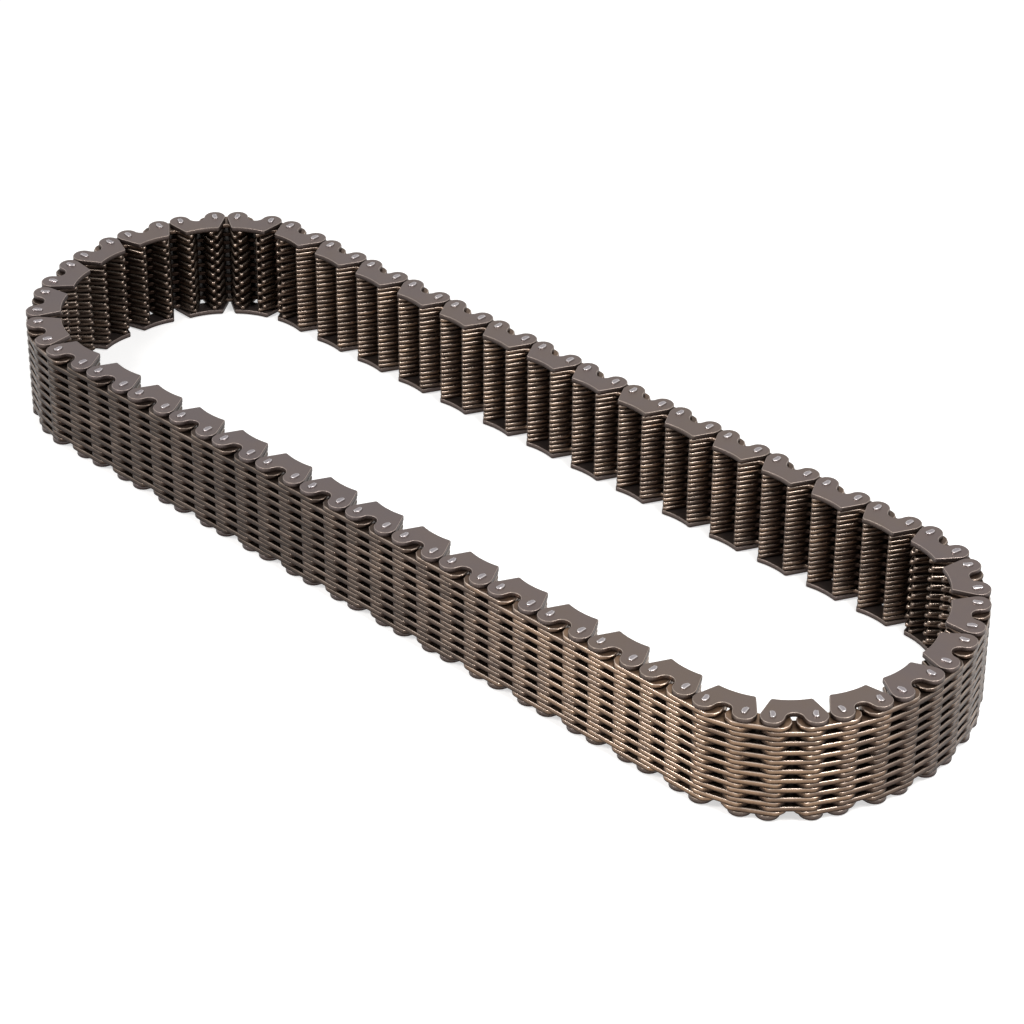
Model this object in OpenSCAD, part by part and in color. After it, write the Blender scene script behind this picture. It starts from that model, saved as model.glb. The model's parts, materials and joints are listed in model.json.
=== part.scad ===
// Silent chain: an endless inverted-tooth drive chain, laced from rows of flat steel plates.
// Outer and inner links alternate, and each joint is a pair of rocker pins that roll on each other.
// The loop lies on its side, with the joint axes along Z and the plates' toes on the inside.

/* [Chain] */
// Distance between neighbouring joint centres
pitch = 9.525; // [8.5:0.025:12.7]
// Links in one half of the loop, each half being the other turned by 180 degrees
half_links = 43; // [35:1:60]
// Rows of plates in an outer link, both guide plates included
outer_rows = 11; // [3:1:15]

/* [Loop at rest] */
// Joints in the first corner of an end, in the direction of travel
first_joints = 4; // [2:1:5]
// Turn of each joint in the first corner, in degrees
first_turn = 15; // [9:0.5:16]
// Joints in the flatter middle of an end
middle_joints = 8; // [5:1:10]
// Joints in the last corner of an end
last_joints = 4; // [2:1:5]
// Turn of each joint in the last corner, in degrees
last_turn = 13; // [9:0.5:16]

/* [Link plates] */
// Thickness of every plate
plate_t = 1.52; // [1:0.01:2]
// Running gap between neighbouring rows
row_gap = 0.045; // [0.04:0.005:0.1]
// Radius of the round lobe at each end of a plate
lobe_r = 3.45; // [3:0.05:3.6]
// Gap between the lobes of neighbouring plates of one row, on a straight run
end_gap = 0.385; // [0.3:0.005:0.9]
// How far a lobe's centre lies behind the joint line
lobe_drop = 0.4; // [0:0.05:0.8]
// Lean of the toes' outer flanks from the link's cross line, in degrees
flank_lean = 30; // [26:0.5:32]
// From the joint line to the tip of a toe
toe_h = 7.6; // [6.6:0.1:8]
// Radius of a toothed plate's toe tip
toe_r = 0.85; // [0.6:0.05:1]
// From the joint line to the centre of the crotch's round root
root_h = 3.4; // [3:0.1:4]
// Radius of the crotch's root
root_r = 1.5; // [1.1:0.05:1.7]

/* [Guide plates] */
// Lean of a guide plate's flanks from the link's cross line, in degrees
guide_lean = 28; // [26:0.5:32]
// From the joint line to the two inner corners
guide_h = 7.4; // [6.6:0.1:8]
// How far the notch in the back reaches past the joint line
notch_reach = 0.9; // [0.4:0.05:1.4]
// Radius of the two inner corners
guide_corner_r = 0.8; // [0.4:0.05:1]
// How far the inner edge dips between its corners
guide_dip = 0.6; // [0.3:0.05:1]

/* [Rocker pins] */
// Thickness of one rocker pin along the link
pin_t = 1.765; // [1.5:0.005:1.9]
// Radius of a pin's two round ends
pin_end_r = 1.55; // [1.3:0.01:1.6]
// Radius of the rolling face
rocker_r = 2.2; // [2:0.05:2.6]
// Gap between the two rolling faces of a straight joint
rocker_gap = 0.16; // [0.12:0.01:0.2]
// Clearance of a pin in its own link's seat
pin_fit = 0.02; // [0.01:0.005:0.04]
// Clearance round the neighbour's pin as it rolls
swing_clear = 0.09; // [0.08:0.01:0.15]
// How far the long pins stand out of the guide plates
pin_proud = 0.515; // [0.3:0.005:0.9]

/* [Hidden] */
// Facets on round edges when drawn as a mesh
$fn = 48;
// How far a straight edge sinks into the round edge that it runs into, so that they cross cleanly
run_in = 0.005;

// Rows across the chain, and the heights that follow from them
row_count = 2 * outer_rows - 1;
row_step = plate_t + row_gap;
stack_h = row_count * plate_t + (row_count - 1) * row_gap;
long_pin = stack_h + 2 * pin_proud;
short_pin = stack_h - 2 * row_step;

// Centres and directions of a plate's outline, on its right-hand half
lobe_c = [pitch - lobe_r - end_gap / 2, -lobe_drop];
flank_out = [cos(flank_lean), sin(flank_lean)];
toe_c = corner_centre(toe_r, toe_h, flank_out);
root_c = [0, root_h];
crotch_rise = atan2(toe_c.y - root_c.y, toe_c.x - root_c.x)
    + asin((toe_r + root_r) / norm(toe_c - root_c));
crotch_out = [-sin(crotch_rise), cos(crotch_rise)];

// The guide plate's back notch touches both lobes, and its inner edge is a shallow arc
notch_top = notch_reach + lobe_drop;
notch_r = (pow(lobe_c.x, 2) + pow(notch_top, 2) - pow(lobe_r, 2)) / (2 * (lobe_r + notch_top));
notch_c = [0, notch_reach - notch_r];
notch_meet = lobe_c + (notch_c - lobe_c) * lobe_r / (lobe_r + notch_r);
guide_out = [cos(guide_lean), sin(guide_lean)];
guide_c = corner_centre(guide_corner_r, guide_h, guide_out);
dip_r = (pow(guide_c.x, 2) + pow(guide_dip, 2)) / (2 * guide_dip);

// A pin's places along the link, from its joint's centre, and the room that its corners sweep
pin_mid = (rocker_gap + pin_t) / 2;
pin_back = rocker_gap / 2 + pin_t;
pin_corner = sqrt(pow(pin_end_r, 2) - pow(pin_t / 2, 2));
swing_r = norm([pin_back, pin_corner]) + swing_clear;

// The loop: each joint's turn, each link's heading and each joint's place
link_count = 2 * half_links;
end_joints = first_joints + middle_joints + last_joints;
middle_turn = (180 - first_joints * first_turn - last_joints * last_turn) / middle_joints;
headings = [for (i = [0 : link_count - 1]) heading(i)];
joints = [for (i = [0 : link_count]) joint_place(i)];
loop_c = (joints[0] + joints[half_links]) / 2;

// Every joint of the two ends is free, and every second joint of the straights
half_starts = concat(
    [for (j = [0 : end_joints - 1]) j],
    [for (j = [end_joints : 2 : half_links - 1]) j]);
starts = concat(half_starts, [for (j = half_starts) j + half_links], [link_count]);
body_count = len(starts) - 1;

// Centre of a corner of radius r that touches the line at height h and the lobe's tangent that faces out
function corner_centre(r, h, out) =
    let (flank = lobe_c * out + lobe_r, y = h - r)
    [(flank - r - y * out.y) / out.x, y];

// Turn of joint i towards the inside of the loop
function joint_turn(i) =
    let (j = i % half_links)
    j < first_joints ? first_turn
    : j < first_joints + middle_joints ? middle_turn
    : j < end_joints ? last_turn
    : 0;

// Direction of link i, which runs from joint i to the next
function heading(i) = i < 0 ? 0 : heading(i - 1) + joint_turn(i);

// Place of joint i, from joint 0
function joint_place(i) =
    i == 0 ? [0, 0] : joint_place(i - 1) + pitch * [cos(headings[i - 1]), sin(headings[i - 1])];

// A half outline followed by its mirror image
function both_sides(half) =
    concat(half, [for (i = [len(half) - 1 : -1 : 0]) [-half[i].x, half[i].y]]);

// Two-figure number of link i
function link_number(i) = str(i < 9 ? "0" : "", i + 1);

// Name of a body: an outer or inner link by itself, or a pair from a straight
function body_name(b) =
    let (i = starts[b], n = starts[b + 1] - i)
    n > 1 ? str("link_pair_", link_number(i), "_", link_number(i + 1))
    : str(i % 2 == 0 ? "outer_link_" : "inner_link_", link_number(i));

// The two lobes that every plate ends in
module lobes() {
    for (side = [-1, 1])
        translate([side * lobe_c.x, lobe_c.y]) circle(lobe_r);
}

// The two rounded corners nearest the inside of the loop
module inner_corners(centre, r) {
    for (side = [-1, 1])
        translate([side * centre.x, centre.y]) circle(r);
}

// Outline of a toothed plate: flat back, two lobes, and two toes with a crotch between them
module toothed_outline() {
    difference() {
        union() {
            lobes();
            inner_corners(toe_c, toe_r);
            polygon(both_sides([
                lobe_c - [0, lobe_r - run_in],
                lobe_c,
                lobe_c + (lobe_r - run_in) * flank_out,
                toe_c + (toe_r - run_in) * flank_out,
                toe_c,
                toe_c + (toe_r - run_in) * crotch_out,
                root_c - (root_r - run_in) * crotch_out]));
        }
        translate(root_c) circle(root_r);
    }
}

// Outline of a guide plate: notched back, two lobes, and one nearly straight inner edge
module guide_outline() {
    difference() {
        union() {
            lobes();
            inner_corners(guide_c, guide_corner_r);
            polygon(both_sides([
                notch_meet,
                lobe_c,
                lobe_c + (lobe_r - run_in) * guide_out,
                guide_c + (guide_corner_r - run_in) * guide_out,
                guide_c,
                [guide_c.x, guide_h - run_in]]));
        }
        translate(notch_c) circle(notch_r + run_in);
        translate([0, guide_h - guide_dip + dip_r]) circle(dip_r);
    }
}

// A pin's section beyond its joint centre: rolling face inwards, flat back outwards
module pin_section(fit = 0) {
    intersection() {
        translate([pin_mid, 0]) circle(pin_end_r + fit);
        translate([rocker_gap / 2 + rocker_r, 0]) circle(rocker_r + fit);
        pin_side(pin_back + fit);
    }
}

// Everything near a joint, up to a flat face that stands at x
module pin_side(x) {
    translate([x - 4 * swing_r, -2 * swing_r]) square(4 * swing_r);
}

// Window in a toothed plate: a flat seat for its own pin, and a round wall about the joint's axis
// that leaves the neighbour's pin room to roll
module joint_window() {
    intersection() {
        circle(swing_r);
        pin_side(pin_back + pin_fit);
    }
}

// Copies at both joints of a link, facing away from its middle
module at_both_joints() {
    for (side = [0, 1])
        mirror([side, 0, 0]) translate([pitch / 2, 0, 0]) children();
}

// Height of a row of plates, counted from the lower guide plate
module at_row(row) {
    translate([0, 0, pin_proud + row * row_step]) children();
}

// Toothed plate, which drives on the sprocket's teeth
module toothed_plate() {
    color([0.42, 0.37, 0.33])
        linear_extrude(plate_t) difference() {
            toothed_outline();
            at_both_joints() joint_window();
        }
}

// Guide plate, which keeps the chain on its sprockets and holds the long pins
module guide_plate() {
    color([0.44, 0.40, 0.39])
        linear_extrude(plate_t) difference() {
            guide_outline();
            at_both_joints() pin_section(pin_fit);
        }
}

// Rocker pin of a given length
module rocker_pin(length) {
    color([0.62, 0.60, 0.62]) linear_extrude(length) pin_section();
}

// Outer link: a guide plate on each side, toothed plates between them, and two long pins
module outer_link() {
    for (row = [0, row_count - 1])
        at_row(row) guide_plate();
    for (row = [2 : 2 : row_count - 3])
        at_row(row) toothed_plate();
    at_both_joints() rocker_pin(long_pin);
}

// Inner link: toothed plates in the rows between, and two short pins that the guide plates keep in
module inner_link() {
    for (row = [1 : 2 : row_count - 2])
        at_row(row) toothed_plate();
    at_row(1) at_both_joints() rocker_pin(short_pin);
}

// Link i in its place on the loop
module link(i) {
    middle = (joints[i] + joints[i + 1]) / 2 - loop_c;
    translate([middle.x, middle.y, 0]) rotate(headings[i])
        if (i % 2 == 0) outer_link();
        else inner_link();
}

// The links of one body
module link_body(b) {
    for (i = [starts[b] : starts[b + 1] - 1]) link(i);
}

for (b = [0 : body_count - 1])
    link_body(b);
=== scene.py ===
"""Silent chain: laced steel plates with rolled edges, guide plates and rocker pins, lying as a long loop."""
import json
import math
from collections import namedtuple

import bpy
import numpy as np
from mathutils import Matrix, Vector
from mathutils.geometry import tessellate_polygon

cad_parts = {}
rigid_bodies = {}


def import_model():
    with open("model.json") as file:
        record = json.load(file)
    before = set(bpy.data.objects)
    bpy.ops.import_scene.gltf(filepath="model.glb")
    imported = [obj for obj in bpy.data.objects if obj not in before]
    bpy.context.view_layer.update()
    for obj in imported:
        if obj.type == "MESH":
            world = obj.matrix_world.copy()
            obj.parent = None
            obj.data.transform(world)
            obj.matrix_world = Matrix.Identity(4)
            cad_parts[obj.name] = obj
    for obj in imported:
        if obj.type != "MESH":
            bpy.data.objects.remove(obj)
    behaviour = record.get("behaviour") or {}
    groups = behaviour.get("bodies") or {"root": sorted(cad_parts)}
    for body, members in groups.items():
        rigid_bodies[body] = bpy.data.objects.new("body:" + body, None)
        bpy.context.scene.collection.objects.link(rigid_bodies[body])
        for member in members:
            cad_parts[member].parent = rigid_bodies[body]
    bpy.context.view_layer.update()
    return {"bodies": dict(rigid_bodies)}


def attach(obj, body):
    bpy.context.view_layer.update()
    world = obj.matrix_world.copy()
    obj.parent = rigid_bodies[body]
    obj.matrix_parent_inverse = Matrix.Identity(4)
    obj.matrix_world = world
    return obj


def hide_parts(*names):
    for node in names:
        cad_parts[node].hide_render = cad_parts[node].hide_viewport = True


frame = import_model()

MM = 0.001

# The loop at rest, in millimetres and degrees. Each of its ends has two corners, given as a number of joints
# and the turn of each, and a flatter middle
PITCH = 9.525
HALF_LINKS = 43
FIRST_CORNER = (4, 15.0)
MIDDLE_JOINTS = 8
LAST_CORNER = (4, 13.0)

# Link plates, in millimetres and degrees
PLATE_T = 1.52
ROW_GAP = 0.045
OUTER_ROWS = 11
LOBE_R = 3.45
END_GAP = 0.385
LOBE_DROP = 0.4
FLANK_LEAN = 30.0
TOE_H = 7.6
TOE_R = 0.85
ROOT_H = 3.4
ROOT_R = 1.5
NOTCH_REACH = 0.9
GUIDE_LEAN = 28.0
GUIDE_H = 7.4
GUIDE_CORNER_R = 0.8
GUIDE_DIP = 0.6

# Extra points on a toothed plate's outline, where its edge changes: the angle on a lobe at which the finer
# steps near the back end, and the share of a flank that lies before its one point
SHOULDER_ANGLE = -64.0
FLANK_SHARE = 0.4

# A toothed plate's edge at five distances from the joint line, from its back over its lobes to its toes: the
# radii of its rolled upper and lower edge, in millimetres, and its polish and painted light: in the rows that
# others cover, the lobes and the flanks' deep parts are painted dark as shade, and in the two rows that lie
# open beside the guide plates they are painted lit
EDGE_PLACES = (-3.85, -3.4, -2.0, 2.0, 3.4)
UPPER_RADII = (0.34, 0.34, 0.34, 0.48, 0.48)
LOWER_RADII = (0.1, 0.45, 0.7, 0.4, 0.4)
SHADED_ROW_POLISH = (1.0, 0.6, 0.05, 0.05, 1.0)
LIT_ROW_POLISH = (1.0, 0.9, 0.9, 0.9, 1.0)
# The wall's polish and painted shade is the edge's raised to this power, so the wall turns dark faster
WALL_SHADE_FADE = 4
# A guide plate's edges: upper and lower radius
GUIDE_EDGES = (0.22, 0.1)

# Rocker pins, in millimetres
PIN_T = 1.765
PIN_END_R = 1.55
ROCKER_R = 2.2
ROCKER_GAP = 0.16
PIN_FIT = 0.02
SWING_CLEAR = 0.09
PIN_PROUD = 0.515

# A pin's tip, in millimetres and degrees: its flat and its rounded edge lie this far in from the sides, the
# edge and the sides start this far from the flat, and the normal has this tilt on the edge
TIP_FLAT_IN = 0.5
TIP_EDGE_IN = 0.16
TIP_EDGE_DOWN = 0.08
TIP_SIDE_DOWN = 0.24
TIP_EDGE_TILT = 62

# A window's facets, and the reach of their corners, in radii of the circle that the neighbour's pin sweeps
WINDOW_FACETS = 6
WINDOW_SPREAD = 1.09

# Wear and painted light, from 0, an oily seam and painted shade, to 1, a polished edge and painted highlight.
# A plate's rim has four values: at the foot and the top of its lower edge, and at the foot and the top of its
# upper edge, so the lower edge is painted dark as shade and the upper edge painted bright as a highlight
TOOTHED_WEAR_AND_LIGHT = (0.0, 0.0, 0.58, 1.0)
GUIDE_WEAR_AND_LIGHT = (0.0, 0.0, 0.3, 1.0)
FACE_WEAR = 0.45
# The faces that other plates cover are nearly as dark as a seam
HIDDEN_FACE_TONE = 0.06
PIN_WEAR = 0.8
# A pin tip's rounded edge takes the full polished colour, partly a painted highlight
TIP_EDGE_POLISH_AND_HIGHLIGHT = 1.0
TIP_WEAR = 0.5
# A hole's wall, in the rows that a sweep takes: straight up, with level normals and the darkest value, oil
# and painted shade
HOLE_WALL = ((0.0, 0.0, 0, 0.0), (0.0, PLATE_T, 0, 0.0))

# Temper of the steel and painted light, from 0, dark and grey, to 1, pale and golden: its drift between links
# is painted light and shade, and plates vary at random in temper
TEMPER_AND_LIGHT_LINKS = (0, 3, 6, 18, 42, 58, 68, 76, 82, 2 * HALF_LINKS)
TEMPERS_AND_LIGHT = (1.0, 0.85, 0.35, 0.58, 0.58, 0.12, 0.12, 0.45, 1.0, 1.0)
TEMPER_SPREAD = 0.3
TEMPER_SEED = 7

# Finish of the steel: its noises' scales for one metre, the range that they mostly keep to, and how far they
# shift the temper and the wear
BLOTCH_SCALE = 160.0
BLOTCH_DETAIL = 3.0
BLOTCH_SHIFT = 0.2
GRAIN_SCALE = 3200.0
GRAIN_DETAIL = 2.0
GRAIN_SHIFT = 0.05
NOISE_RANGE = (0.3, 0.7)
# Depth of the grain, in metres, and its strength
GRAIN_DEPTH = 0.00002
GRAIN_STRENGTH = 0.08
# Oil and painted shade darken the steel over the first range of wear and painted light, and polish and
# painted highlight brighten it over the second. Oil makes it rougher, and polish smoother
OIL_AND_SHADE_RANGE = (0.0, 0.42)
POLISH_AND_HIGHLIGHT_RANGE = (0.55, 1.0)
OIL_ROUGHER = 0.14
POLISH_SMOOTHER = 0.1
METALLIC = 0.9

# Stage: the floor's half side in metres, its grey and its glow, and the surround's strength as a light
FLOOR_REACH = 3.0
PAPER_GREY = 0.7
PAPER_GLOW = 0.58
SURROUND_LIGHT = 0.25

# The photograph's view, in degrees and millimetres
VIEW_AZIMUTH = 43.3475
VIEW_ELEVATION = 32.915
VIEW_ROLL = 0.317
VIEW_DISTANCE = 1050.98
VIEW_TARGET = (18.703, -5.224, 17.975)
SENSOR_MM = 36.0
LENS_MM = 124.13

# Rows of plates, counted from the lower guide plate: those of outer links are even, and of inner links odd
ROW_COUNT = 2 * OUTER_ROWS - 1
ROW_STEP = PLATE_T + ROW_GAP
STACK_H = ROW_COUNT * PLATE_T + (ROW_COUNT - 1) * ROW_GAP
GUIDE_ROWS = (0, ROW_COUNT - 1)
OPEN_ROWS = (1, ROW_COUNT - 2)
NEXT_ROWS = (2, ROW_COUNT - 3)
INNER_HIDDEN_ROWS = range(3, ROW_COUNT - 3, 2)
OUTER_HIDDEN_ROWS = range(4, ROW_COUNT - 4, 2)

RNG = np.random.default_rng(TEMPER_SEED)

# A mesh that repeats: its points, its faces, and the normal and the wear and painted light at each corner of
# its faces
Shape = namedtuple("Shape", "points quads tris quad_normals tri_normals quad_wear tri_wear")


def unit(degrees):
    """The unit vector at an angle: its cosine and its sine."""
    return np.array([math.cos(math.radians(degrees)), math.sin(math.radians(degrees))])


def arc(centre, radius, start, end, steps):
    """Points on a circle: centre plus radius times the unit vector, from the start to the end angle."""
    turn = np.radians(np.linspace(start, end, steps + 1))
    return np.asarray(centre) + radius * np.c_[np.cos(turn), np.sin(turn)]


def angle_of(vector):
    """A vector's direction in degrees."""
    return math.degrees(math.atan2(vector[1], vector[0]))


def both_sides(right):
    """A closed outline: the right half, anticlockwise, followed by its mirror image in reverse order."""
    return np.vstack([right, right[::-1] * [-1, 1]])


def mirrored(outline):
    """The outline's mirror image on the left joint, still anticlockwise."""
    return (outline * [-1, 1])[::-1]


LOBE_C = np.array([PITCH - LOBE_R - END_GAP / 2, -LOBE_DROP])


def inner_corner(radius, reach, lean):
    """Centre of a round corner: it touches the lobe's leaning tangent, and a level line at its reach."""
    out = unit(lean)
    flank = LOBE_C @ out + LOBE_R
    height = reach - radius
    return np.array([(flank - radius - height * out[1]) / out[0], height])


def toothed_outline():
    """Flat back, round lobe, straight flank, round toe, straight crotch side and half of the round root."""
    toe_c = inner_corner(TOE_R, TOE_H, FLANK_LEAN)
    root_c = np.array([0.0, ROOT_H])
    across = toe_c - root_c
    rise = angle_of(across) + math.degrees(math.asin((TOE_R + ROOT_R) / np.linalg.norm(across)))
    shoulder = arc(LOBE_C, LOBE_R, -90, SHOULDER_ANGLE, steps=3)
    lobe = arc(LOBE_C, LOBE_R, SHOULDER_ANGLE, FLANK_LEAN, steps=3)
    toe = arc(toe_c, TOE_R, FLANK_LEAN, 90 + rise, steps=3)
    root = arc(root_c, ROOT_R, rise - 90, -90, steps=2)
    flank = lobe[-1] + FLANK_SHARE * (toe[0] - lobe[-1])
    return both_sides(np.vstack([shoulder, lobe[1:], flank, toe, root[:-1]]))


def guide_outline():
    """Half of the back notch, round lobe, straight flank, small corner and half of the shallow inner dip."""
    notch_top = NOTCH_REACH + LOBE_DROP
    notch_r = (LOBE_C[0] ** 2 + notch_top ** 2 - LOBE_R ** 2) / (2 * (LOBE_R + notch_top))
    notch_c = np.array([0.0, NOTCH_REACH - notch_r])
    meet = angle_of(notch_c - LOBE_C)
    corner_c = inner_corner(GUIDE_CORNER_R, GUIDE_H, GUIDE_LEAN)
    dip_r = (corner_c[0] ** 2 + GUIDE_DIP ** 2) / (2 * GUIDE_DIP)
    dip_c = np.array([0.0, GUIDE_H - GUIDE_DIP + dip_r])
    dip_start = angle_of(corner_c + [0, GUIDE_CORNER_R] - dip_c)
    notch = arc(notch_c, notch_r, 90, meet + 180, steps=8)
    lobe = arc(LOBE_C, LOBE_R, meet, GUIDE_LEAN, steps=12)
    corner = arc(corner_c, GUIDE_CORNER_R, GUIDE_LEAN, 90, steps=4)
    dip = arc(dip_c, dip_r, dip_start, -90, steps=5)
    return both_sides(np.vstack([notch[1:-1], lobe, corner, dip[1:-1]]))


# A pin's places along the link, from its joint's centre, and the room that its corners sweep
PIN_MID = (ROCKER_GAP + PIN_T) / 2
PIN_BACK = ROCKER_GAP / 2 + PIN_T
PIN_CORNER = math.sqrt(PIN_END_R ** 2 - (PIN_T / 2) ** 2)
SWING_R = math.hypot(PIN_BACK, PIN_CORNER) + SWING_CLEAR


def pin_section(fit=0.0):
    """A pin's outline on the right joint: flat back, two round ends, and a rolling face towards the joint.

    The round ends meet the rolling face where the two circles cross.
    """
    end_r = PIN_END_R + fit
    rocker_r = ROCKER_R + fit
    rocker_x = ROCKER_GAP / 2 + ROCKER_R
    offset = rocker_x - PIN_MID
    cross_x = (offset ** 2 + end_r ** 2 - rocker_r ** 2) / (2 * offset)
    cross_y = math.sqrt(end_r ** 2 - cross_x ** 2)
    back = math.degrees(math.acos((PIN_BACK + fit - PIN_MID) / end_r))
    front = angle_of((cross_x, cross_y))
    face = angle_of((cross_x - offset, cross_y))
    upper = arc((PITCH / 2 + PIN_MID, 0.0), end_r, back, front, steps=3)
    rolling = arc((PITCH / 2 + rocker_x, 0.0), rocker_r, face, 360 - face, steps=4)
    return np.vstack([upper, rolling[1:-1], (upper * [1, -1])[::-1]])


def joint_window():
    """A window on the right joint: facets round a circle about its centre, cut by the flat seat of its pin.

    The facets' corners lie outside the circle, so their middles leave the neighbour's pin its room to roll.
    """
    reach = SWING_R * WINDOW_SPREAD
    seat = math.degrees(math.acos((PIN_BACK + PIN_FIT) / reach))
    return arc((PITCH / 2, 0.0), reach, seat, 360 - seat, WINDOW_FACETS)


def inset(outline, depth):
    """The outline moved inwards: each point along its mean normal, by depth over the half corner's cosine."""
    ahead = np.roll(outline, -1, axis=0) - outline
    normal = np.c_[ahead[:, 1], -ahead[:, 0]] / np.linalg.norm(ahead, axis=1)[:, None]
    mean = normal + np.roll(normal, 1, axis=0)
    mean /= np.linalg.norm(mean, axis=1)[:, None]
    cosine = (mean * normal).sum(axis=1)
    return outline - mean * (depth / cosine)[:, None]


def outward(outline):
    """The outline's normals: at each point, square to the chord between its two neighbours."""
    chord = np.roll(outline, -1, axis=0) - np.roll(outline, 1, axis=0)
    return np.c_[chord[:, 1], -chord[:, 0]] / np.linalg.norm(chord, axis=1)[:, None]


def swept(outline, profile):
    """An outline carried up a profile of (inset, height, tilt of the normal, wear and painted light) rows,
    one ring for a row.

    Gives the points, the quads between neighbouring rings, and each point's normal and its wear and painted
    light.
    """
    count = len(outline)
    level = outward(outline)
    rings, normals, wears = [], [], []
    for depth, height, tilt, wear in profile:
        out, up = unit(tilt)
        rings.append(np.c_[inset(outline, depth), np.full(count, height)])
        normals.append(np.c_[level * out, np.full(count, up)])
        wears.append(np.full(count, wear))
    here = np.arange(count)
    ahead = np.roll(here, -1)
    band = np.c_[here, ahead, ahead + count, here + count]
    quads = [band + k * count for k in range(len(profile) - 1)]
    return np.vstack(rings), np.vstack(quads), np.vstack(normals), np.concatenate(wears)


def closed(points, quads, quad_normals, quad_wear, lower, upper, fill, face_wear_and_light):
    """A shape whose two flat faces are filled: the triangles count along the points of either face."""
    tris = np.vstack([upper[fill], lower[fill[:, ::-1]]])
    tri_normals = np.zeros((len(tris), 3, 3))
    tri_normals[:len(fill), :, 2] = 1
    tri_normals[len(fill):, :, 2] = -1
    tri_wear = np.full((len(tris), 3), face_wear_and_light)
    return Shape(points, quads, tris, quad_normals, tri_normals, quad_wear, tri_wear)


def filled(loops):
    """Triangles between the first loop of points and the loops inside it, each turned anticlockwise."""
    fill = np.array(tessellate_polygon([loop.tolist() for loop in loops]))
    a, b, c = np.vstack(loops)[fill.T, :2]
    ahead, across = b - a, c - a
    turned = ahead[:, 0] * across[:, 1] < ahead[:, 1] * across[:, 0]
    fill[turned] = fill[turned][:, ::-1]
    return fill


def plate(outline, holes, edges, wear, face_wear_and_light):
    """A stamped plate: the outline swept over its two rounded edges, straight walls in its holes, flat faces.

    An edge is one sloping band whose normals turn from level to upright, so it shades as a quarter round.
    """
    upper_r, lower_r = edges
    rows = ((lower_r, 0.0, -90), (0.0, lower_r, 0), (0.0, PLATE_T - upper_r, 0), (upper_r, PLATE_T, 90))
    profile = [(*row, row_wear_and_light) for row, row_wear_and_light in zip(rows, wear)]
    points, quads, normals, point_wear_and_light = swept(outline, profile)
    quad_normals, quad_wear = normals[quads], point_wear_and_light[quads]
    rim = np.arange(len(outline))
    lower, upper = [rim], [rim + len(points) - len(outline)]
    for hole in holes:
        wall, wall_quads, wall_normals, wall_wear_and_light = swept(hole, HOLE_WALL)
        wall_quads = wall_quads[:, ::-1]
        rim = len(points) + np.arange(len(hole))
        lower.append(rim)
        upper.append(rim + len(hole))
        quads = np.vstack([quads, wall_quads + len(points)])
        points = np.vstack([points, wall])
        quad_normals = np.vstack([quad_normals, -wall_normals[wall_quads]])
        quad_wear = np.vstack([quad_wear, wall_wear_and_light[wall_quads]])
    fill = filled([points[loop] for loop in upper])
    lower, upper = np.concatenate(lower), np.concatenate(upper)
    return closed(points, quads, quad_normals, quad_wear, lower, upper, fill, face_wear_and_light)


def toothed_plate(polish_and_shade, face_wear_and_light):
    """A toothed plate, whose rolled edges and polish and painted shade change evenly between the places where
    they are set.
    """
    outline = toothed_outline()
    settings = (UPPER_RADII, LOWER_RADII, polish_and_shade)
    upper_r, lower_r, edge = (np.interp(outline[:, 1], EDGE_PLACES, values) for values in settings)
    wall = edge ** WALL_SHADE_FADE
    wear = np.array(TOOTHED_WEAR_AND_LIGHT)[:, None] * [wall, wall, wall, edge]
    return plate(outline, WINDOWS, (upper_r, lower_r), wear, face_wear_and_light)


def pin(outline, base, length):
    """A rocker pin: its section swept up, with a rounded edge, a low crown and a small flat at each end."""
    tip = (
        (TIP_FLAT_IN, 0.0, 90, TIP_WEAR),
        (TIP_EDGE_IN, TIP_EDGE_DOWN, TIP_EDGE_TILT, TIP_EDGE_POLISH_AND_HIGHLIGHT),
        (0.0, TIP_SIDE_DOWN, 0, PIN_WEAR),
    )
    lower = [(depth, base + down, -tilt, wear) for depth, down, tilt, wear in tip]
    upper = [(depth, base + length - down, tilt, wear) for depth, down, tilt, wear in tip[::-1]]
    points, quads, normals, wear = swept(outline, lower + upper)
    rim = np.arange(len(outline))
    fan = np.c_[np.zeros(len(rim) - 2, int), rim[1:-1], rim[2:]]
    last = rim + len(points) - len(rim)
    return closed(points, quads, normals[quads], wear[quads], rim, last, fan, TIP_WEAR)


def loop_places():
    """Each link's heading and middle: headings add up the turns, and joints lie a pitch apart along them."""
    first, first_turn = FIRST_CORNER
    last, last_turn = LAST_CORNER
    middle_turn = (180 - first * first_turn - last * last_turn) / MIDDLE_JOINTS
    straight = HALF_LINKS - first - MIDDLE_JOINTS - last
    half = [first_turn] * first + [middle_turn] * MIDDLE_JOINTS + [last_turn] * last + [0.0] * straight
    headings = np.cumsum(half + half)
    steps = PITCH * np.c_[np.cos(np.radians(headings)), np.sin(np.radians(headings))]
    joints = np.vstack([[0.0, 0.0], np.cumsum(steps, axis=0)])
    joints -= (joints[0] + joints[HALF_LINKS]) / 2
    return headings, (joints[:-1] + joints[1:]) / 2


HEADINGS, MIDDLES = loop_places()


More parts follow.
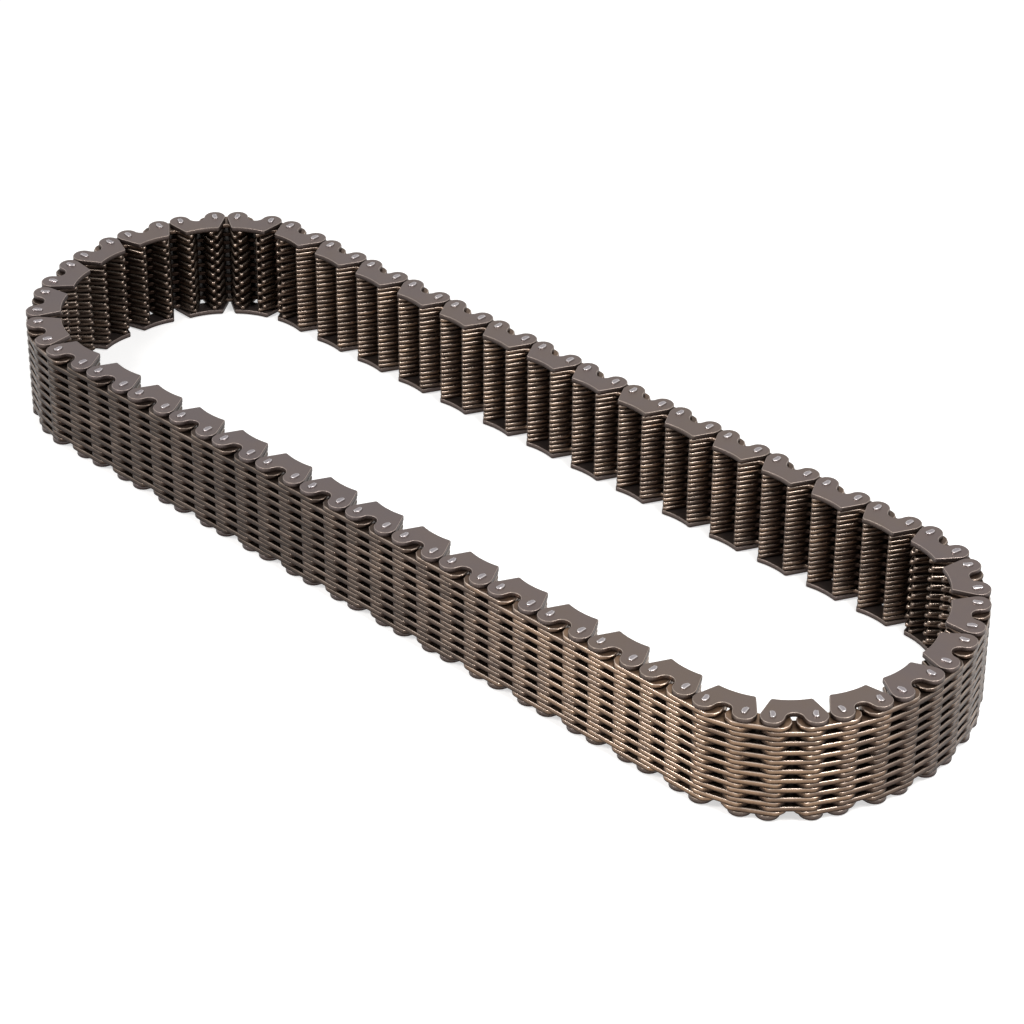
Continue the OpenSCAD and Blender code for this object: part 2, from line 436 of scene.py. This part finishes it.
def copied(shape, link, heights):
    """Copies of a shape, in metres: turned to the link's heading, moved to its middle, raised to heights."""
    copies = len(heights)
    c, s = unit(HEADINGS[link])
    turn = np.array([[c, s, 0], [-s, c, 0], [0, 0, 1]])
    places = np.c_[np.tile(MIDDLES[link], (copies, 1)), heights]
    first = len(shape.points) * np.arange(copies)[:, None, None]
    return Shape(
        ((shape.points @ turn)[None] + places[:, None]).reshape(-1, 3) * MM,
        (shape.quads[None] + first).reshape(-1, 4),
        (shape.tris[None] + first).reshape(-1, 3),
        np.tile(shape.quad_normals @ turn, (copies, 1, 1)),
        np.tile(shape.tri_normals @ turn, (copies, 1, 1)),
        np.tile(shape.quad_wear, (copies, 1)),
        np.tile(shape.tri_wear, (copies, 1)),
    )


def joined(shapes):
    """Shapes as one: their arrays stacked, each one's faces counting on from the points before its own."""
    starts = np.cumsum([0] + [len(shape.points) for shape in shapes])
    shifted = [shape._replace(quads=shape.quads + start, tris=shape.tris + start)
               for shape, start in zip(shapes, starts)]
    return Shape(*(np.vstack(arrays) for arrays in zip(*shifted)))


def tints_and_light(shape, link, heights):
    """Each point's tint: painted light and shade between the links where it is set, plus the copy's own
    random share of temper.
    """
    own = TEMPER_SPREAD * (RNG.random(len(heights)) - 0.5)
    return np.repeat(np.interp(link, TEMPER_AND_LIGHT_LINKS, TEMPERS_AND_LIGHT) + own, len(shape.points))


def piece(name, body, material, parts):
    """One mesh of many copies. Each part is a shape, a link and the heights of its copies there."""
    whole = joined([copied(*part) for part in parts])
    tint_and_light = np.concatenate([tints_and_light(*part) for part in parts])
    wear = np.concatenate([whole.quad_wear.ravel(), whole.tri_wear.ravel()])
    normals = np.vstack([whole.quad_normals.reshape(-1, 3), whole.tri_normals.reshape(-1, 3)])
    mesh = bpy.data.meshes.new(name)
    mesh.from_pydata(whole.points, [], whole.quads.tolist() + whole.tris.tolist())
    mesh.polygons.foreach_set("use_smooth", np.ones(len(mesh.polygons), bool))
    # Each corner carries its wear and painted light, and each point its tint and painted light
    for attribute, domain, values in (("wear", "CORNER", wear), ("tint_and_light", "POINT", tint_and_light)):
        layer = mesh.attributes.new(attribute, "FLOAT", domain)
        layer.data.foreach_set("value", values.astype(np.float32))
    mesh.materials.append(material)
    mesh.update()
    mesh.normals_split_custom_set(normals)
    made = bpy.data.objects.new(name, mesh)
    bpy.context.scene.collection.objects.link(made)
    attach(made, body)
    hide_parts(body)


class Nodes:
    """A node tree, with short calls that add a node, set its sockets and link its inputs."""

    # Sockets of a Mix node for colours, whose names other sockets share
    MIX_FACTOR = 0
    MIX_A = 6
    MIX_B = 7
    MIX_RESULT = 2

    def __init__(self, tree):
        self.tree = tree
        self.tree.nodes.clear()

    def add(self, kind, sockets=None, **settings):
        """A node of a kind: a socket takes a value, or a link from another node's output."""
        node = self.tree.nodes.new(kind)
        for key, value in settings.items():
            setattr(node, key, value)
        for socket, value in (sockets or {}).items():
            if isinstance(value, bpy.types.NodeSocket):
                self.tree.links.new(value, node.inputs[socket])
            else:
                node.inputs[socket].default_value = value
        return node

    def attribute(self, name):
        """The mesh's own attribute of that name."""
        return self.add("ShaderNodeAttribute", attribute_name=name).outputs["Fac"]

    def noise(self, scale, detail):
        """Noise on the object's own coordinates."""
        place = self.add("ShaderNodeTexCoord").outputs["Object"]
        sockets = {"Vector": place, "Scale": scale, "Detail": detail}
        return self.add("ShaderNodeTexNoise", sockets).outputs["Fac"]

    def ranged(self, value, old, new):
        """The value carried from the old range to the new one, and held at its ends."""
        old_range = {"From Min": old[0], "From Max": old[1]}
        new_range = {"To Min": new[0], "To Max": new[1]}
        return self.add("ShaderNodeMapRange", {"Value": value, **old_range, **new_range}).outputs["Result"]

    def ramp(self, value, colours):
        """Colours at even steps of the value from 0 to 1, mixed between the steps."""
        node = self.add("ShaderNodeValToRGB", {"Fac": value})
        stops = node.color_ramp.elements
        while len(stops) < len(colours):
            stops.new(1.0)
        for stop, place, colour in zip(stops, np.linspace(0, 1, len(colours)), colours):
            stop.position = place
            stop.color = colour
        return node.outputs["Color"]

    def mixed(self, factor, a, b):
        """Colour a turning into colour b as the factor goes from 0 to 1."""
        sockets = {self.MIX_FACTOR: factor, self.MIX_A: a, self.MIX_B: b}
        return self.add("ShaderNodeMix", sockets, data_type="RGBA").outputs[self.MIX_RESULT]

    def combined(self, operation, a, b):
        """Two numbers put through an operation."""
        return self.add("ShaderNodeMath", {0: a, 1: b}, operation=operation).outputs[0]


def finished(name, build):
    """A material whose surface is the shader that build adds to its nodes."""
    material = bpy.data.materials.new(name)
    material.use_nodes = True
    n = Nodes(material.node_tree)
    n.add("ShaderNodeOutputMaterial", {"Surface": build(n)})
    return material


def srgb(red, green, blue):
    """An 8-bit screen colour as linear values with full alpha, by the screen standard's curve."""
    c = np.array([red, green, blue]) / 255
    return (*np.where(c <= 0.04045, c / 12.92, ((c + 0.055) / 1.055) ** 2.4), 1.0)


def oiled_steel(seam_and_shade, tempers, polish_and_highlight, rough):
    """Heat-treated steel: a blotched temper colour for each copy with painted light along the loop, dark with
    oil and painted shade low down and in hollows, pale with polish and painted highlight on upper edges.
    """
    def build(n):
        blotch = n.noise(BLOTCH_SCALE, BLOTCH_DETAIL)
        grain = n.noise(GRAIN_SCALE, GRAIN_DETAIL)
        wear_shift = n.ranged(grain, NOISE_RANGE, (-GRAIN_SHIFT, GRAIN_SHIFT))
        temper_shift = n.ranged(blotch, NOISE_RANGE, (-BLOTCH_SHIFT, BLOTCH_SHIFT))
        wear = n.combined("ADD", n.attribute("wear"), wear_shift)
        # The tint carries painted light and shade along the loop, and a random temper for each copy
        temper_and_light = n.combined("ADD", n.attribute("tint_and_light"), temper_shift)
        # Low values give the seam colour, oil and painted shade; high values the pale colour, polish and
        # painted highlight
        bare = n.mixed(n.ranged(wear, OIL_AND_SHADE_RANGE, (0.0, 1.0)), seam_and_shade, n.ramp(temper_and_light, tempers))
        colour = n.mixed(n.ranged(wear, POLISH_AND_HIGHLIGHT_RANGE, (0.0, 1.0)), bare, n.ramp(temper_and_light, polish_and_highlight))
        roughness = n.ranged(wear, (0.0, 1.0), (rough + OIL_ROUGHER, rough - POLISH_SMOOTHER))
        relief = {"Height": grain, "Strength": GRAIN_STRENGTH, "Distance": GRAIN_DEPTH}
        bump = n.add("ShaderNodeBump", relief)
        return n.add("ShaderNodeBsdfPrincipled", {
            "Base Color": colour,
            "Roughness": roughness,
            "Metallic": METALLIC,
            "Normal": bump.outputs["Normal"],
        }).outputs["BSDF"]
    return build


# Each steel's seam colour is oil and painted shade, and its pale colour polish and painted highlight. The
# toothed tempers' spread from dark grey to pale gold carries the painted light and shade along the loop
TOOTHED_STEEL = finished("toothed_plate_steel", oiled_steel(
    seam_and_shade=srgb(25, 13, 7),
    tempers=(srgb(54, 45, 40), srgb(76, 63, 55), srgb(100, 82, 69), srgb(134, 109, 88)),
    polish_and_highlight=(srgb(150, 134, 122), srgb(240, 221, 206)),
    rough=0.32,
))
GUIDE_STEEL = finished("guide_plate_steel", oiled_steel(
    seam_and_shade=srgb(38, 28, 24),
    tempers=(srgb(106, 96, 95), srgb(110, 98, 94), srgb(111, 98, 90)),
    polish_and_highlight=(srgb(180, 166, 158), srgb(188, 174, 162)),
    rough=0.38,
))
PIN_STEEL = finished("rocker_pin_steel", oiled_steel(
    seam_and_shade=srgb(60, 54, 54),
    tempers=(srgb(146, 140, 144), srgb(156, 150, 152)),
    polish_and_highlight=(srgb(192, 186, 187), srgb(202, 196, 195)),
    rough=0.32,
))

# The shapes that repeat, in millimetres about a link's middle. Plates in covered rows have their lobes and
# deep flanks painted dark as shade, and the open rows' plates are painted lit there. A toothed plate in the
# rows next to the open ones has a hidden plate's painted shade, but its faces show and keep their temper
# colour
PINS = (pin_section(), mirrored(pin_section()))
SEATS = (pin_section(PIN_FIT), mirrored(pin_section(PIN_FIT)))
WINDOWS = (joint_window(), mirrored(joint_window()))
HIDDEN_PLATE = toothed_plate(SHADED_ROW_POLISH, HIDDEN_FACE_TONE)
NEXT_PLATE = toothed_plate(SHADED_ROW_POLISH, FACE_WEAR)
OPEN_PLATE = toothed_plate(LIT_ROW_POLISH, FACE_WEAR)
GUIDE_PLATE = plate(guide_outline(), SEATS, GUIDE_EDGES, GUIDE_WEAR_AND_LIGHT, FACE_WEAR)
LONG_PINS = [pin(side, 0.0, STACK_H + 2 * PIN_PROUD) for side in PINS]
SHORT_PINS = [pin(side, PIN_PROUD + ROW_STEP, STACK_H - 2 * ROW_STEP) for side in PINS]


def row_heights(rows):
    """The height of each row's lower face."""
    return PIN_PROUD + ROW_STEP * np.array(rows)


def build_body(body):
    """The pieces of one body: toothed plates, guide plates where it has an outer link, and rocker pins.

    The body's name holds the numbers of its links, counted from 1. The odd ones are outer links.
    """
    links = [int(word) - 1 for word in body.split("_") if word.isdigit()]
    toothed, guides, pins = [], [], []
    for link in links:
        if link % 2 == 0:
            toothed.append((HIDDEN_PLATE, link, row_heights(OUTER_HIDDEN_ROWS)))
            toothed.append((NEXT_PLATE, link, row_heights(NEXT_ROWS)))
            guides.append((GUIDE_PLATE, link, row_heights(GUIDE_ROWS)))
            pins += [(shape, link, np.zeros(1)) for shape in LONG_PINS]
        else:
            toothed.append((HIDDEN_PLATE, link, row_heights(INNER_HIDDEN_ROWS)))
            toothed.append((OPEN_PLATE, link, row_heights(OPEN_ROWS)))
            pins += [(shape, link, np.zeros(1)) for shape in SHORT_PINS]
    piece(body + "_toothed_plates", body, TOOTHED_STEEL, toothed)
    if guides:
        piece(body + "_guide_plates", body, GUIDE_STEEL, guides)
    piece(body + "_rocker_pins", body, PIN_STEEL, pins)


def seen_rays(n):
    """1 for rays that see the stage itself: the camera's, and those that metal or glass sends on."""
    path = n.add("ShaderNodeLightPath").outputs
    sent_on = n.combined("MAXIMUM", path["Is Glossy Ray"], path["Is Transmission Ray"])
    return n.combined("MAXIMUM", path["Is Camera Ray"], sent_on)


def pale_paper(n):
    """A pale diffuse sheet that glows a little for the rays that see it: white, and still taking a shadow."""
    paper = n.add("ShaderNodeBsdfDiffuse", {"Color": (PAPER_GREY, PAPER_GREY, PAPER_GREY, 1.0)})
    glow = n.add("ShaderNodeEmission", {"Strength": n.ranged(seen_rays(n), (0.0, 1.0), (0.0, PAPER_GLOW))})
    return n.add("ShaderNodeAddShader", {0: paper.outputs[0], 1: glow.outputs[0]}).outputs[0]


def floor():
    """A flat square under the chain."""
    corners = np.array([[-1, -1, 0], [1, -1, 0], [1, 1, 0], [-1, 1, 0]])
    mesh = bpy.data.meshes.new("floor")
    mesh.from_pydata(corners * FLOOR_REACH, [], [[0, 1, 2, 3]])
    mesh.materials.append(finished("pale_floor", pale_paper))
    made = bpy.data.objects.new("floor", mesh)
    bpy.context.scene.collection.objects.link(made)


def surround():
    """A world that shows white, and lights the chain with an even, weaker white."""
    world = bpy.data.worlds.new("surround")
    bpy.context.scene.world = world
    world.use_nodes = True
    n = Nodes(world.node_tree)
    strength = n.ranged(seen_rays(n), (0.0, 1.0), (SURROUND_LIGHT, 1.0))
    background = n.add("ShaderNodeBackground", {"Color": (1, 1, 1, 1), "Strength": strength})
    n.add("ShaderNodeOutputWorld", {"Surface": background.outputs[0]})


def direction(azimuth, elevation):
    """From the chain towards a compass direction and height: azimuth 0 is towards -Y, and 90 towards +X."""
    a, e = math.radians(azimuth), math.radians(elevation)
    return Vector((math.sin(a) * math.cos(e), -math.cos(a) * math.cos(e), math.sin(e)))


def softbox(name, azimuth, elevation, distance, width, height, watts, colour):
    """An area light that faces the chain, in degrees and metres."""
    light = bpy.data.lights.new(name, "AREA")
    light.shape = "RECTANGLE"
    light.size = width
    light.size_y = height
    light.energy = watts
    light.color = colour
    made = bpy.data.objects.new(name, light)
    made.location = distance * direction(azimuth, elevation)
    made.rotation_euler = made.location.to_track_quat("Z", "Y").to_euler()
    bpy.context.scene.collection.objects.link(made)


def photo_camera():
    """A long lens at the photograph's viewing angle: turned by azimuth and elevation, then rolled."""
    data = bpy.data.cameras.new("photo_camera")
    data.sensor_width = SENSOR_MM
    data.lens = LENS_MM
    camera = bpy.data.objects.new("photo_camera", data)
    back = direction(VIEW_AZIMUTH, VIEW_ELEVATION)
    place = (Vector(VIEW_TARGET) + back * VIEW_DISTANCE) * MM
    roll = Matrix.Rotation(math.radians(VIEW_ROLL), 3, "Z")
    turn = (-back).to_track_quat("-Z", "Y").to_matrix() @ roll
    camera.matrix_world = Matrix.Translation(place) @ turn.to_4x4()
    bpy.context.scene.collection.objects.link(camera)
    bpy.context.scene.camera = camera


for body_name in frame["bodies"]:
    build_body(body_name)
floor()
surround()
softbox("front", azimuth=-20, elevation=42, distance=1.0, width=0.24, height=0.34,
        watts=6.0, colour=(1.0, 0.97, 0.94))
softbox("side", azimuth=88, elevation=54, distance=0.62, width=0.24, height=0.28,
        watts=3.0, colour=(1.0, 0.98, 0.96))
photo_camera()
bpy.context.scene.view_settings.view_transform = "Standard"
